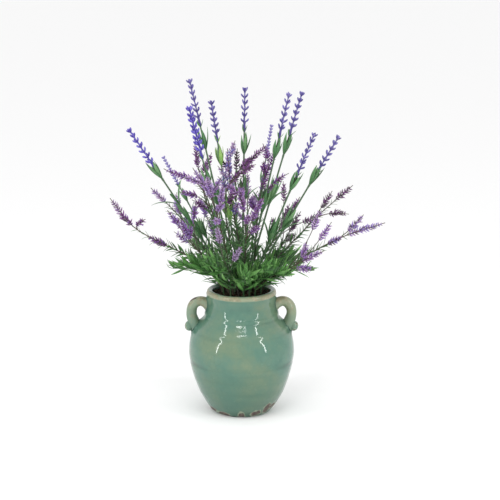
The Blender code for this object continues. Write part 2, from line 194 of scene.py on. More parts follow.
def new_piece(name, points, quads, triangles, look, uv=None, marks=None):
    """A smooth-shaded mesh object from arrays of points and faces. uv has one pair for each
    point, and marks maps an attribute's name to one number for each point."""
    mesh = bpy.data.meshes.new(name)
    mesh.vertices.add(len(points))
    mesh.vertices.foreach_set("co", np.ascontiguousarray(points, np.float32).ravel())
    corners = np.concatenate([quads.ravel(), triangles.ravel()]).astype(np.int32)
    sizes = np.repeat([4, 3], [len(quads), len(triangles)])
    mesh.loops.add(len(corners))
    mesh.loops.foreach_set("vertex_index", corners)
    mesh.polygons.add(len(sizes))
    mesh.polygons.foreach_set("loop_start", (np.cumsum(sizes) - sizes).astype(np.int32))
    mesh.update(calc_edges=True)
    mesh.shade_smooth()
    if uv is not None:
        layer = mesh.uv_layers.new(name="OFBake")
        layer.uv.foreach_set("vector", uv[corners].astype(np.float32).ravel())
    for mark, values in (marks or {}).items():
        kept = mesh.attributes.new(mark, "FLOAT", "POINT")
        kept.data.foreach_set("value", np.ascontiguousarray(values, np.float32).ravel())
    mesh.materials.append(look)
    piece = bpy.data.objects.new(name, mesh)
    scene.collection.objects.link(piece)
    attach(piece, "root")
    return piece


def add(tree, kind, sockets=None, **settings):
    """A node of this kind. sockets maps an input to its value or to the output it comes from."""
    made = tree.nodes.new("ShaderNode" + kind)
    for setting, value in settings.items():
        setattr(made, setting, value)
    for socket, value in (sockets or {}).items():
        if isinstance(value, bpy.types.NodeSocket):
            tree.links.new(value, made.inputs[socket])
        else:
            made.inputs[socket].default_value = value
    return made


def paint(red, green, blue):
    """A display colour of 0 to 255 as the linear colour that shaders take."""
    shown = np.array([red, green, blue]) / 255
    linear = np.where(shown <= 0.04045, shown / 12.92, ((shown + 0.055) / 1.055) ** 2.4)
    return (*linear.tolist(), 1)


def ramp(tree, value, stops, interpolation="LINEAR"):
    """A colour ramp over value through (position, colour) stops."""
    made = add(tree, "ValToRGB", {0: value})
    made.color_ramp.interpolation = interpolation
    elements = made.color_ramp.elements
    for _ in range(len(stops) - 2):
        elements.new(0.5)
    for element, (position, colour) in zip(elements, stops):
        element.position = position
        element.color = colour
    return made.outputs[0]


def blend(tree, share, first, second, mode="MIX"):
    """The first colour turned into the second by a share."""
    made = add(tree, "Mix", {0: share, 6: first, 7: second}, data_type="RGBA", blend_type=mode)
    return made.outputs[2]


def sums(tree, operation, *values, clamp=False):
    """One Math node's result."""
    made = add(tree, "Math", dict(enumerate(values)), operation=operation, use_clamp=clamp)
    return made.outputs[0]


def spread(tree, value, low, high):
    """value from low to high stretched to 0 to 1 and held there outside them."""
    return add(tree, "MapRange", {0: value, 1: low, 2: high}, clamp=True).outputs[0]


def noise(tree, place, scale, detail=3.0, roughness=0.55):
    """The 0 to 1 value of a noise pattern read at place."""
    sockets = {"Vector": place, "Scale": scale, "Detail": detail, "Roughness": roughness}
    return add(tree, "TexNoise", sockets).outputs["Fac"]


def new_look(name, roughness, specular=0.5):
    """An empty material's node tree and its Principled shader."""
    look = bpy.data.materials.new(name)
    look.use_nodes = True
    shader = look.node_tree.nodes["Principled BSDF"]
    shader.inputs["Roughness"].default_value = roughness
    shader.inputs["Specular IOR Level"].default_value = specular
    return look, look.node_tree, shader


def mark_of(tree, name):
    """The number that a piece's own attribute holds."""
    return add(tree, "Attribute", attribute_name=name).outputs["Fac"]


def celadon_glaze():
    """Grey-green glaze over fired clay: cloudy from olive to teal, darker where it pooled and where
    a dark reflection is painted on the belly's sides, with a fine crackle, and bare brown clay inside
    pale-edged chips. The mark chip holds the distance in millimetres inside a chip, the pooling mark
    the depth of glaze together with that painted reflection, and wear how far the lip is rubbed."""
    look, tree, shader = new_look("celadon_glaze", 0.1)
    place = add(tree, "TexCoord").outputs["Object"]
    cloud = noise(tree, place, 17.0, 4.0, 0.6)
    colour = ramp(tree, cloud, [
        (0.30, paint(72, 112, 98)), (0.44, paint(84, 121, 105)),
        (0.56, paint(99, 125, 103)), (0.70, paint(116, 132, 104)),
    ])
    banded = add(tree, "Mapping", {0: place, 3: (6, 6, 90)}).outputs[0]
    band = noise(tree, banded, 1.0, 2.0)
    colour = blend(tree, sums(tree, "MULTIPLY", spread(tree, band, 0.35, 0.7), 0.35), colour,
                   paint(80, 116, 98))
    height = add(tree, "SeparateXYZ", {0: place}).outputs["Z"]
    low = spread(tree, height, 0.085, 0.02)
    colour = blend(tree, sums(tree, "MULTIPLY", low, 0.55), colour, paint(70, 104, 90))
    # The pooling mark also holds a painted dark reflection on the sides of the belly; both pull the colour
    # towards this dark green.
    pool_and_painted_reflection = sums(tree, "ADD", mark_of(tree, "pool_and_painted_reflection"), sums(tree, "MULTIPLY", cloud, 0.15))
    colour = blend(tree, spread(tree, pool_and_painted_reflection, 0.1, 1.15), colour, paint(26, 66, 52))
    tall = add(tree, "Mapping", {0: place, 3: (1, 1, 0.55)}).outputs[0]
    warp = noise(tree, place, 60.0, 2.0)
    warped = add(tree, "VectorMath", {0: tall, 1: sums(tree, "MULTIPLY", warp, 0.006)}).outputs[0]
    cracks = add(tree, "TexVoronoi", {"Vector": warped, "Scale": 150.0}, feature="DISTANCE_TO_EDGE")
    crack = spread(tree, cracks.outputs["Distance"], 0.035, 0.0)
    patchy = spread(tree, noise(tree, place, 30.0), 0.4, 0.62)
    crack = sums(tree, "MULTIPLY", crack, sums(tree, "MULTIPLY", patchy, 0.30))
    colour = blend(tree, crack, colour, paint(62, 90, 76))
    specks = add(tree, "TexVoronoi", {"Vector": place, "Scale": 95.0, "Randomness": 1.0})
    speck = spread(tree, specks.outputs["Distance"], 0.10, 0.05)
    colour = blend(tree, sums(tree, "MULTIPLY", speck, 0.08), colour, paint(176, 188, 160))
    rubbed = mark_of(tree, "wear")
    colour = blend(tree, sums(tree, "MULTIPLY", rubbed, 1.0, clamp=True), colour, paint(156, 162, 134))

    ragged = sums(tree, "MULTIPLY", sums(tree, "SUBTRACT", noise(tree, place, 260.0, 4.0), 0.5), 6.0)
    wear_noise = sums(tree, "MULTIPLY", sums(tree, "SUBTRACT", noise(tree, place, 90.0, 4.0), 0.5), 1.8)
    wear = spread(tree, sums(tree, "ADD", rubbed, wear_noise), 0.4, 0.75)
    buff = ramp(tree, noise(tree, place, 140.0, 4.0), [
        (0.3, paint(108, 102, 78)), (0.5, paint(138, 130, 102)), (0.7, paint(164, 156, 130)),
    ])
    colour = blend(tree, sums(tree, "MULTIPLY", wear, 0.8), colour, buff)
    chip = sums(tree, "ADD", mark_of(tree, "chip"), ragged)
    rim = sums(tree, "MULTIPLY", spread(tree, chip, -1.1, -0.7), spread(tree, chip, 0.5, -0.1))
    colour = blend(tree, sums(tree, "MULTIPLY", rim, 0.85), colour, paint(146, 158, 134))
    bare = spread(tree, chip, 0.0, 0.35)
    clay = ramp(tree, noise(tree, place, 320.0, 4.0), [
        (0.3, paint(58, 46, 42)), (0.5, paint(88, 76, 70)), (0.72, paint(128, 116, 102)),
    ])
    colour = blend(tree, bare, colour, clay)
    tree.links.new(colour, shader.inputs["Base Color"])

    dull = sums(tree, "MAXIMUM", bare, sums(tree, "MULTIPLY", wear, 0.35))
    gloss = sums(tree, "ADD", sums(tree, "MULTIPLY", dull, 0.65), 0.07)
    gloss = sums(tree, "ADD", gloss, sums(tree, "MULTIPLY", crack, 0.4))
    tree.links.new(gloss, shader.inputs["Roughness"])
    grit = sums(tree, "MULTIPLY", noise(tree, place, 900.0, 2.0), bare)
    relief = sums(tree, "ADD", sums(tree, "MULTIPLY", grit, 0.5), sums(tree, "MULTIPLY", crack, -0.25))
    relief = sums(tree, "ADD", relief, sums(tree, "MULTIPLY", noise(tree, place, 42.0, 1.0), 0.4))
    bump = add(tree, "Bump", {"Height": relief, "Strength": 0.35, "Distance": 0.0006})
    tree.links.new(bump.outputs[0], shader.inputs["Normal"])
    return look


def glaze_marks(points, chips):
    """How far in millimetres each point lies inside the nearest of (centre, radius) chips."""
    gap = [radius - np.linalg.norm(points / MM - np.array(centre), axis=-1) for centre, radius in chips]
    return np.max(gap, axis=0)


glaze = celadon_glaze()
lip_turn = np.radians(np.linspace(-20, 180, 22))
lip = np.array(LIP_CENTRE) + LIP_RADIUS * np.stack([np.cos(lip_turn), np.sin(lip_turn)], -1)
wall = smooth_line(JAR_OUTLINE, 9)[:-2]
profile = np.concatenate([FOOT_RECESS[1:], wall, lip, smooth_line(INSIDE, 4)[1:-1]])
outer = np.zeros(len(profile))
outer[len(FOOT_RECESS) : len(FOOT_RECESS) + len(wall)] = 1
slope = np.gradient(profile, axis=0)
slope /= np.linalg.norm(slope, axis=1, keepdims=True)
turn = np.linspace(0, 2 * np.pi, JAR_COLUMNS, endpoint=False)
radius, height = profile[:, :1], profile[:, 1:]

rings = sum(size * np.exp(-(((height - level) / reach) ** 2)) for level, size, reach in THROWING_RINGS)
rings = rings * (0.75 + 0.25 * np.sin(turn * 2 + height / 23)) + 0.12 * np.sin(3 * turn + height / 9)
wobble = 0.22 * np.sin(2 * turn + height / 40) + 0.12 * np.sin(5 * turn - height / 17 + 1)
chip = np.full(rings.shape, NO_CHIP)
for chip_turn, level, half_width, half_height in FOOT_CHIPS:
    round_by = (turn - np.radians(chip_turn) + np.pi) % (2 * np.pi) - np.pi
    stretch = np.hypot(round_by * radius / half_width, (height - level) / half_height)
    chip = np.maximum(chip, (1 - stretch) * min(half_width, half_height))
chip = np.where(outer[:, None] + (radius > 36) * (height < 2) > 0, chip, NO_CHIP)

skin_x, skin_y = radius * np.sin(turn), -radius * np.cos(turn)
handle_line = smooth_line(HANDLE_PATH, 8)
handle_x, handle_z, handle_r = handle_line.T
skin = np.stack(np.broadcast_arrays(np.abs(skin_x), skin_y, height), -1)
spine = np.stack([handle_x, 0 * handle_x, handle_z], -1)
handle_gap = np.min(np.linalg.norm(skin[:, :, None] - spine, axis=-1) - handle_r, axis=-1)
weld = np.exp(-np.clip(handle_gap, 0, None) / WELD_REACH) * outer[:, None]
proud = outer[:, None] * (rings + wobble) + WELD_HEIGHT * weld - CHIP_DEPTH * np.clip(chip + 0.6, 0, 1)
jar_radius = radius + proud * slope[:, 1:]
jar_height = np.clip(height - proud * slope[:, :1], 0, None)
jar_rings = np.stack([jar_radius * np.sin(turn), -jar_radius * np.cos(turn), jar_height + 0 * turn], -1)
jar_poles = np.array([[0, 0, FOOT_RECESS[0][1]], [0, 0, INSIDE[-1][1]]])
jar_points = np.concatenate([jar_rings.reshape(-1, 3), jar_poles]) * MM

foot_pool = np.exp(-(((height - 5) / 5) ** 2)) * (0.55 + 0.45 * np.sin(3 * turn + 0.6))
# Painted reflection: a dark band on the left and right of the widest belly, standing in for the glaze
# mirroring the edge of the floor. It goes into the pooling mark with the real pooling in the grooves, round
# the foot and at the handles' welds.
painted_side_reflection = np.exp(-(((height - 76) / 3.5) ** 2)) * np.clip(np.abs(np.sin(turn)) * 2.6 - 1.6, 0, 1)
pool_and_painted_reflection = outer[:, None] * np.clip(-0.45 * rings + 0.7 * foot_pool + 0.7 * painted_side_reflection + 0.9 * weld, 0, 1)
on_lip = np.hypot(radius - LIP_CENTRE[0], height - LIP_CENTRE[1]) < LIP_RADIUS + 2.5
lip_edge = np.clip((radius - 44.0) / 3.5, 0, 1) * np.clip((height - 169.5) / 2.0, 0, 1)
wear = np.where(on_lip, lip_edge * LIP_WEAR, 0)
body_marks = {
    "chip": np.append(chip.ravel(), [NO_CHIP, NO_CHIP]),
    "pool_and_painted_reflection": np.append(pool_and_painted_reflection.ravel(), [0, 0]),
    "wear": np.append((wear + 0 * turn).ravel(), [0, 0]),
}
jar_rows = len(profile)
jar_body = new_piece("jar_body", jar_points, ring_quads(jar_rows, JAR_COLUMNS),
                     pole_fans(jar_rows, JAR_COLUMNS), glaze, marks=body_marks)
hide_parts("jar")

# ---- The jar's handles -----------------------------------------------------------------
# Two coils of the same clay, pulled from the neck out and down to the shoulder and pressed on
# while damp, each with a round button of clay over its foot. The glaze is knocked off along
# the tops of the bends and at the buttons' edges.
HANDLE_SIDES = 32
BUTTON = (73.3, 123)
BUTTON_RADIUS = 7.4
BUTTON_ROWS = 16
HANDLE_CHIPS = {
    "right": [((74.5, -5, 118.5), 2.0), ((78, -4, 127), 1.5)],
    "left": [
        ((-62, -2, 167), 2.6), ((-65.5, -2.5, 165), 2.9), ((-69, -2, 162), 2.6),
        ((-71.5, -1.5, 159.5), 1.8), ((-80, -3, 126), 2.2), ((-79, -5, 121), 1.8),
    ],
}


def loft(centre, side, up, across, rise, ends=None):
    """Closed limbs, each a run of sections: point = centre + across * side + rise * up, where
    centre, side and up are limb x row x 3, and across and rise are limb x row x corner. Both
    ends close on a pole at the first and last centre, or at the given ends. side x up points
    along the limb, so faces point outwards. Returns the points and faces of all limbs."""
    rings = centre[:, :, None] + across[..., None] * side[:, :, None] + rise[..., None] * up[:, :, None]
    count, rows, columns = rings.shape[:3]
    poles = centre[:, [0, -1]] if ends is None else ends
    points = np.concatenate([rings.reshape(count, -1, 3), poles], 1)
    step = (np.arange(count) * points.shape[1])[:, None, None]
    quads = (ring_quads(rows, columns)[None] + step).reshape(-1, 4)
    triangles = (pole_fans(rows, columns)[None] + step).reshape(-1, 3)
    return points.reshape(-1, 3), quads, triangles


def join(parts):
    """Several lofts' (points, quads, triangles, ...) as one, with the faces renumbered. What
    follows the faces in each is joined end to end."""
    starts = np.cumsum([0] + [len(part[0]) for part in parts[:-1]])
    points = np.concatenate([part[0] for part in parts])
    quads = np.concatenate([part[1] + start for part, start in zip(parts, starts)])
    triangles = np.concatenate([part[2] + start for part, start in zip(parts, starts)])
    rest = [np.concatenate(values) for values in zip(*[part[3:] for part in parts])]
    return points, quads, triangles, *rest


def round_corners(columns):
    """The cosine and sine of a section's corners, counter-clockwise."""
    angle = np.linspace(0, 2 * np.pi, columns, endpoint=False)
    return np.cos(angle), np.sin(angle)


def handle_tube(sign):
    """The coil: circles of the path's radius, a little flattened and unevenly squeezed, set
    square to a path in the XZ plane."""
    path = np.stack([sign * handle_x, 0 * handle_x, handle_z], -1)[None] * MM
    along = np.gradient(path[0], axis=0)[None]
    along /= np.linalg.norm(along, axis=-1, keepdims=True)
    side = np.broadcast_to([0.0, 1.0, 0.0], path.shape)
    up = np.cross(along, side)
    cosine, sine = round_corners(HANDLE_SIDES)
    row = np.linspace(0, 1, len(handle_r))[:, None]
    angle = np.arctan2(sine, cosine)
    uneven = 1 + 0.025 * np.sin(11 * row + 2 * angle + sign) + 0.015 * np.sin(23 * row - 3 * angle)
    size = handle_r[:, None] * MM * uneven
    return loft(path, side, up, (size * cosine * 1.03)[None], (size * sine * 0.98)[None])


def button_ball(sign):
    """The button: a ball whose radius swells and dips slowly, pressed flat towards the jar."""
    tilt = np.linspace(0, np.pi, BUTTON_ROWS + 2)[1:-1]
    cosine, sine = round_corners(HANDLE_SIDES)
    angle = np.arctan2(sine, cosine)
    size = BUTTON_RADIUS * MM * (1 + 0.03 * np.sin(2 * angle + 3 * tilt[:, None] + sign))
    middle = np.array([sign * BUTTON[0], 0, BUTTON[1]]) * MM
    centre = middle + np.outer(-np.cos(tilt), [0, 0, BUTTON_RADIUS * MM])
    side = np.broadcast_to([1.0, 0.0, 0.0], centre.shape)[None]
    up = np.broadcast_to([0.0, 1.0, 0.0], centre.shape)[None]
    ends = middle + np.array([[[0, 0, -1], [0, 0, 1]]]) * BUTTON_RADIUS * MM
    ring = np.sin(tilt)[:, None] * size
    return loft(centre[None], side, up, (0.94 * ring * cosine)[None], (ring * sine)[None], ends)


for side_name, sign in (("right", 1), ("left", -1)):
    points, quads, triangles = join([handle_tube(sign), button_ball(sign)])
    ball = BUTTON_RADIUS + 1.5 - np.linalg.norm(points / MM - [sign * BUTTON[0], 0, BUTTON[1]], axis=-1)
    tube_gap = np.abs(np.linalg.norm(points / MM - [sign * 66, 0, 118], axis=-1) - 8)
    into_wall = np.clip(1 - (np.abs(points[:, 0]) / MM - 47) / 4, 0, 1) * (points[:, 2] > 140 * MM)
    joint = np.clip(into_wall + np.exp(-tube_gap / 2.0) * 0.6 * (ball < 0.2), 0, 1)
    top_wear = np.clip((points[:, 2] / MM - 125) / 40, 0, 1) * 0.44 + 0.16
    knocks = glaze_marks(points, HANDLE_CHIPS[side_name])
    handle_marks = {"chip": knocks, "pool_and_painted_reflection": joint, "wear": top_wear}
    handle = new_piece("jar_handle_" + side_name, points, quads, triangles, glaze, marks=handle_marks)
    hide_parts("jar")

# ---- The soil --------------------------------------------------------------------------
# Dark composted bark that fills the jar to just under the lip. Its top is a rough low mound,
# and loose crumbs and slivers of bark lie over it, a few of them spilt on the front of the lip.
SOIL_EDGE = 169.5
SOIL_CROWN = 173.0
SOIL_RADIUS = 40.0
SOIL_DEPTH = 152.0
SOIL_ROWS = 40
SOIL_COLUMNS = 120
CRUMBS = 420
SPILT = 16
CRUMB_COLUMNS = 7


def bark_look(name, dark, middle, light, scale):
    """Bark: broken by noise from near black to brown, rough all over."""
    look, tree, shader = new_look(name, 0.92, 0.2)
    place = add(tree, "TexCoord").outputs["Object"]
    grain = noise(tree, place, scale, 5.0, 0.7)
    colour = ramp(tree, grain, [(0.32, dark), (0.52, middle), (0.7, light)])
    damp = spread(tree, noise(tree, place, scale / 7), 0.35, 0.65)
    colour = blend(tree, sums(tree, "MULTIPLY", damp, 0.5), colour, dark)
    tree.links.new(colour, shader.inputs["Base Color"])
    bump = add(tree, "Bump", {"Height": grain, "Strength": 0.8, "Distance": 0.001})
    tree.links.new(bump.outputs[0], shader.inputs["Normal"])
    return look


soil_look = bark_look("dark_bark_soil", paint(16, 18, 14), paint(38, 34, 26), paint(74, 62, 46), 420.0)
crumb_look = bark_look("bark_crumb", paint(24, 20, 16), paint(62, 50, 38), paint(112, 92, 68), 300.0)
draw = np.random.default_rng(7)
soil_turn = np.linspace(0, 2 * np.pi, SOIL_COLUMNS, endpoint=False)
share = np.linspace(1, 0, SOIL_ROWS + 1)[:-1, None]
lumps = np.zeros((SOIL_ROWS, SOIL_COLUMNS))
for _ in range(60):
    lump_at = draw.uniform(-1, 1, 2)
    size = draw.uniform(0.04, 0.13)
    gap = np.hypot(share * np.sin(soil_turn) - lump_at[0], -share * np.cos(soil_turn) - lump_at[1])
    lumps += draw.uniform(0.5, 1.6) * np.exp(-((gap / size) ** 2))
mound = SOIL_EDGE + (SOIL_CROWN - SOIL_EDGE) * (1 - share**2)
mound = mound + lumps * np.clip((1 - share) * 8, 0, 1) - 0.6
mound += draw.uniform(-0.25, 0.25, mound.shape) * np.clip((1 - share) * 6, 0, 1)
top_x = SOIL_RADIUS * share * np.sin(soil_turn)
top_y = -SOIL_RADIUS * share * np.cos(soil_turn)
skirt = np.stack([top_x[0], top_y[0], np.full(SOIL_COLUMNS, SOIL_DEPTH)], -1)
soil_rings = np.concatenate([skirt[None], np.stack([top_x, top_y, mound], -1)])
soil_poles = np.array([[0, 0, SOIL_DEPTH], [0, 0, SOIL_CROWN]])
soil_points = np.concatenate([soil_rings.reshape(-1, 3), soil_poles]) * MM
soil = new_piece("soil_mound", soil_points, ring_quads(SOIL_ROWS + 1, SOIL_COLUMNS),
                 pole_fans(SOIL_ROWS + 1, SOIL_COLUMNS), soil_look)
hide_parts("soil")


def unit(vectors):
    """The same vectors at length one."""
    return vectors / np.linalg.norm(vectors, axis=-1, keepdims=True)


def bark_crumbs(places, sizes):
    """Crumbs: each a three-ringed pod along a random line, its corners pushed in and out."""
    count = len(places)
    along = unit(draw.normal(size=(count, 3)) * [1, 1, 0.45])
    side = unit(np.cross([0.3, 0.2, 0.9], along))
    up = np.cross(along, side)
    row = np.array([-0.7, 0.0, 0.7])
    centre = places[:, None] + along[:, None] * (row[None, :, None] * sizes[:, None, None] * 1.5)
    cosine, sine = round_corners(CRUMB_COLUMNS)
    swell = np.array([0.6, 1.0, 0.55])[None, :, None] * sizes[:, None, None]
    swell = swell * draw.uniform(0.6, 1.3, (count, 3, CRUMB_COLUMNS))
    reach = np.array([-1.1, 1.1])[None, :, None]
    ends = places[:, None] + along[:, None] * reach * sizes[:, None, None] * 1.3
    frames = [np.repeat(axis[:, None], 3, 1) for axis in (side, up)]
    return loft(centre, *frames, swell * cosine, swell * sine * 0.7, ends)


crumb_turn = draw.uniform(0, 2 * np.pi, CRUMBS)
crumb_out = SOIL_RADIUS * np.sqrt(draw.uniform(0.05, 0.93, CRUMBS))
crumb_z = SOIL_EDGE + (SOIL_CROWN - SOIL_EDGE) * (1 - (crumb_out / SOIL_RADIUS) ** 2)
crumb_z = crumb_z + draw.uniform(0.2, 2.2, CRUMBS)
crumb_at = np.stack([crumb_out * np.sin(crumb_turn), -crumb_out * np.cos(crumb_turn), crumb_z], -1)
spilt_turn = np.radians(draw.uniform(-42, 34, SPILT))
spilt_out = draw.uniform(38.5, 43.5, SPILT)
lip_top = LIP_CENTRE[1] + np.sqrt(np.clip(LIP_RADIUS**2 - (spilt_out - LIP_CENTRE[0]) ** 2, 1, None))
lip_top = np.where(spilt_out < 41, SOIL_EDGE + 3, lip_top)
spilt_at = np.stack([spilt_out * np.sin(spilt_turn), -spilt_out * np.cos(spilt_turn), lip_top + 0.3], -1)
crumb_sizes = np.concatenate([draw.uniform(0.7, 1.9, CRUMBS), draw.uniform(0.5, 0.9, SPILT)])
crumb_places = np.concatenate([crumb_at, spilt_at]) * MM
crumbs = new_piece("bark_crumbs", *bark_crumbs(crumb_places, crumb_sizes * MM), crumb_look)
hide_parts("soil")

# ---- The tall lavender's stalks --------------------------------------------------------
# Eleven gently bent stalks of moulded green plastic, each with long folded leaves in whorls at
# two levels and three small bracts under the flower head. Two stalks at the left have whorls at
# two more levels.
SURFACE = 174.0
SUNK = 5.0
TALL = {
    "01": ((-13, 0), (-155, 0, 404), 68, (0.42, 0.93)),
    "02": ((-6, 4), (-72, 30, 468), 66, (0.50, 0.86)),
    "03": ((-9, -10), (-70, -60, 445), 76, (0.40, 0.80)),
    "04": ((-2, 8), (-43, 84, 428), 58, (0.46, 0.84)),
    "05": ((1, -2), (5, -10, 463), 60, (0.55, 0.86)),
    "06": ((5, -6), (65, -46, 462), 64, (0.52, 0.87)),
    "07": ((6, 5), (85, 60, 445), 63, (0.56, 0.88)),
    "08": ((12, -9), (99, -72, 412), 69, (0.44, 0.88)),
    "09": ((13, 3), (136, 40, 386), 60, (0.50, 0.90)),
    "10": ((5, 13), (43, 92, 394), 50, (0.45, 0.80)),
    "11": ((-16, 12), (-111, 62, 354), 50, (0.50, 0.86)),
}
TALL_RISE = 14.0
STALK_ROWS = 40
TILES = 16
GREENS = [
    ((58, 84, 60), (74, 100, 74)),      # 0 stalk
    ((46, 92, 52), (92, 148, 92)),      # 1 to 4 tall leaves, dark to light
    ((58, 108, 62), (112, 162, 106)),
    ((40, 82, 46), (84, 136, 84)),
    ((74, 122, 74), (134, 176, 122)),
    ((118, 168, 76), (176, 208, 128)),  # 5 pale lime leaves
    ((36, 84, 34), (82, 140, 62)),      # 6 to 9 willow leaves
    ((48, 106, 42), (106, 164, 80)),
    ((28, 66, 32), (62, 112, 54)),
    ((72, 130, 58), (138, 190, 108)),
    ((72, 52, 48), (94, 74, 68)),       # 10 and 11 brown and grey twig
    ((62, 50, 52), (86, 72, 74)),
    ((52, 88, 54), (88, 130, 82)),      # 12 to 15 needles
    ((64, 104, 62), (108, 150, 98)),
    ((76, 96, 76), (126, 146, 116)),
    ((46, 78, 44), (82, 120, 70)),
]


def moulded_look(name, shades, rough, ribbed):
    """Moulded plastic that reads only the piece's own map: u runs over TILES shades side by
    side and across each one, v from the foot to the tip. The colour goes from the first to the
    second of its shade towards the tip, mottled, with a paler rib and edge where it is ribbed."""
    look, tree, shader = new_look(name, rough, 0.4)
    place = add(tree, "UVMap", uv_map="OFBake").outputs[0]
    split = add(tree, "SeparateXYZ", {0: place})
    u, v = split.outputs["X"], split.outputs["Y"]
    low = ramp(tree, u, [(i / TILES, paint(*shade[0])) for i, shade in enumerate(shades)], "CONSTANT")
    high = ramp(tree, u, [(i / TILES, paint(*shade[1])) for i, shade in enumerate(shades)], "CONSTANT")
    lengths = add(tree, "Mapping", {0: place, 3: (TILES * 2.0, 7.0, 1)}).outputs[0]
    mottle = noise(tree, lengths, 1.6, 3.0)
    reach = sums(tree, "ADD", v, sums(tree, "MULTIPLY", sums(tree, "SUBTRACT", mottle, 0.5), 0.7))
    colour = blend(tree, spread(tree, reach, 0.05, 0.95), low, high)
    fine = noise(tree, add(tree, "Mapping", {0: place, 3: (TILES * 9.0, 16.0, 1)}).outputs[0], 2.0, 2.0)
    colour = blend(tree, spread(tree, fine, 0.62, 0.35), colour, low)
    across = sums(tree, "FRACT", sums(tree, "MULTIPLY", u, TILES))
    off_rib = sums(tree, "ABSOLUTE", sums(tree, "SUBTRACT", across, 0.5))
    veins = sums(tree, "SINE", sums(tree, "MULTIPLY", across, 95.0))
    relief = sums(tree, "MULTIPLY", mottle, 0.4)
    if ribbed:
        rib = spread(tree, off_rib, 0.045, 0.01)
        edge = spread(tree, off_rib, 0.33, 0.38)
        pale = sums(tree, "MAXIMUM", sums(tree, "MULTIPLY", rib, 0.45), sums(tree, "MULTIPLY", edge, 0.25))
        colour = blend(tree, pale, colour, paint(168, 196, 140))
        relief = sums(tree, "ADD", relief, sums(tree, "SUBTRACT", sums(tree, "MULTIPLY", veins, 0.15), rib))
    tree.links.new(colour, shader.inputs["Base Color"])
    gloss = sums(tree, "ADD", sums(tree, "MULTIPLY", sums(tree, "SUBTRACT", fine, 0.5), 0.25), rough)
    tree.links.new(gloss, shader.inputs["Roughness"])
    bump = add(tree, "Bump", {"Height": relief, "Strength": 0.5, "Distance": 0.0004})
    tree.links.new(bump.outputs[0], shader.inputs["Normal"])
    return look


def leaning(root, tip, rise, rows=STALK_ROWS):
    """A quadratic Bezier line from just under the soil: its knee stands straight over the root."""
    root = np.array([*root, SURFACE]) * MM
    knee = root + [0, 0, rise * MM]
    t = np.linspace(0, 1, rows)[:, None]
    line = root * (1 - t) ** 2 + 2 * knee * t * (1 - t) + np.array(tip) * MM * t**2
    return np.concatenate([root[None] - [[0, 0, SUNK * MM]], line])


def read_line(line, distance):
    """Points and unit directions at these distances along a line, between its own points."""
    reach = np.append(0, np.cumsum(np.linalg.norm(np.diff(line, axis=0), axis=1)))
    slope = np.gradient(line, reach, axis=0)
    place = np.stack([np.interp(distance, reach, line[:, k]) for k in range(3)], -1)
    along = np.stack([np.interp(distance, reach, slope[:, k]) for k in range(3)], -1)
    return place, unit(along)


def line_length(line):
    return np.linalg.norm(np.diff(line, axis=0), axis=1).sum()


def tile_map(tile, rows, columns, ends=True):
    """The map of lofts: u mirrors round each section inside its shade's tile, v goes by row."""
    cosine, _ = round_corners(columns)
    u = np.broadcast_to(0.5 + 0.4 * cosine, (rows, columns)).ravel()
    v = np.repeat(np.linspace(0.04, 0.96, rows), columns)
    u, v = np.append(u, [0.5, 0.5]), np.append(v, [0.02, 0.98])
    tile = np.asarray(tile)
    return np.stack([((tile[:, None] + u) / TILES).ravel(), np.tile(v, len(tile))], -1)


def wire(line, radii, tile, columns=8):
    """One stem: circles of the given radii along a line, with its map."""
    along = unit(np.gradient(line, axis=0))
    side = unit(np.cross([0.31, 0.95, 0.02], along))
    up = np.cross(along, side)
    cosine, sine = round_corners(columns)
    size = (np.broadcast_to(radii, len(line)) * MM)[:, None]
    made = loft(line[None], side[None], up[None], (size * cosine)[None], (size * sine)[None])
    return *made, tile_map([tile], len(line), columns)


def walk(base, heading, length):
    """Middle lines of limbs: from each base, equal steps along the mean of neighbouring headings,
    which add up to the length."""
    count, rows, _ = heading.shape
    middle = (heading[:, 1:] + heading[:, :-1]) / 2
    walked = np.cumsum(middle, axis=1) * (length[:, None, None] * MM / (rows - 1))
    return base[:, None] + np.concatenate([np.zeros((count, 1, 3)), walked], 1)


def leaves(base, along, face, length, width, curl, tile, rows=9, columns=8, fold=0.34, waist=0.3):
    """Folded lance leaves, one for each row of base. The middle line starts along the leaf and
    turns by curl towards its face over its length; the half width grows from a narrow waist to
    its most at two fifths and falls to a point; the section is a thin lens folded up into a V."""
    count = len(base)
    length, width, curl = (np.broadcast_to(value, count).astype(float) for value in (length, width, curl))
    row = np.linspace(0, 1, rows)
    bend = curl[:, None] * row[None] ** 1.3
    heading = along[:, None] * np.cos(bend)[..., None] + face[:, None] * np.sin(bend)[..., None]
    up = face[:, None] * np.cos(bend)[..., None] - along[:, None] * np.sin(bend)[..., None]
    centre = walk(base, heading, length)
    side = np.cross(up, heading)
    shape = np.interp(row, [0, 0.12, 0.28, 0.45, 0.65, 0.85, 1], [waist, 0.55, 0.88, 1, 0.84, 0.46, 0.05])
    half = width[:, None] / 2 * shape * MM
    thick = 0.28 * MM * (0.5 + 0.5 * shape)
    cosine, sine = round_corners(columns)
    across = half[..., None] * cosine
    rise = thick[:, None] * sine + fold * np.abs(across)
    made = loft(centre, side, up, across, rise)
    return *made, tile_map(tile, rows, columns)


def around(along, angle):
    """Unit vectors square to each of along, turned round it by an angle."""
    first = unit(np.cross([0.31, 0.95, 0.02], along))
    second = np.cross(along, first)
    return first * np.cos(angle)[:, None] + second * np.sin(angle)[:, None]


def whorl(line, distance, count, length, width, lean, curl, tiles, start=0.0):
    """Leaves round a stem at one level: they leave it at the angle lean and curl from there."""
    place, along = read_line(line, np.full(count, distance))
    angle = start + 2 * np.pi * (np.arange(count) + draw.uniform(-0.12, 0.12, count)) / count
    out = around(along, angle)
    tilt = lean * draw.uniform(0.8, 1.25, count)[:, None]
    heading = along * np.cos(tilt) + out * np.sin(tilt)
    face = along * np.sin(tilt) - out * np.cos(tilt)
    length = length * draw.uniform(0.86, 1.08, count)
    bend = curl * draw.uniform(0.7, 1.3, count)
    return leaves(place + out * 0.5 * MM, heading, face, length, width, bend, draw.choice(tiles, count))


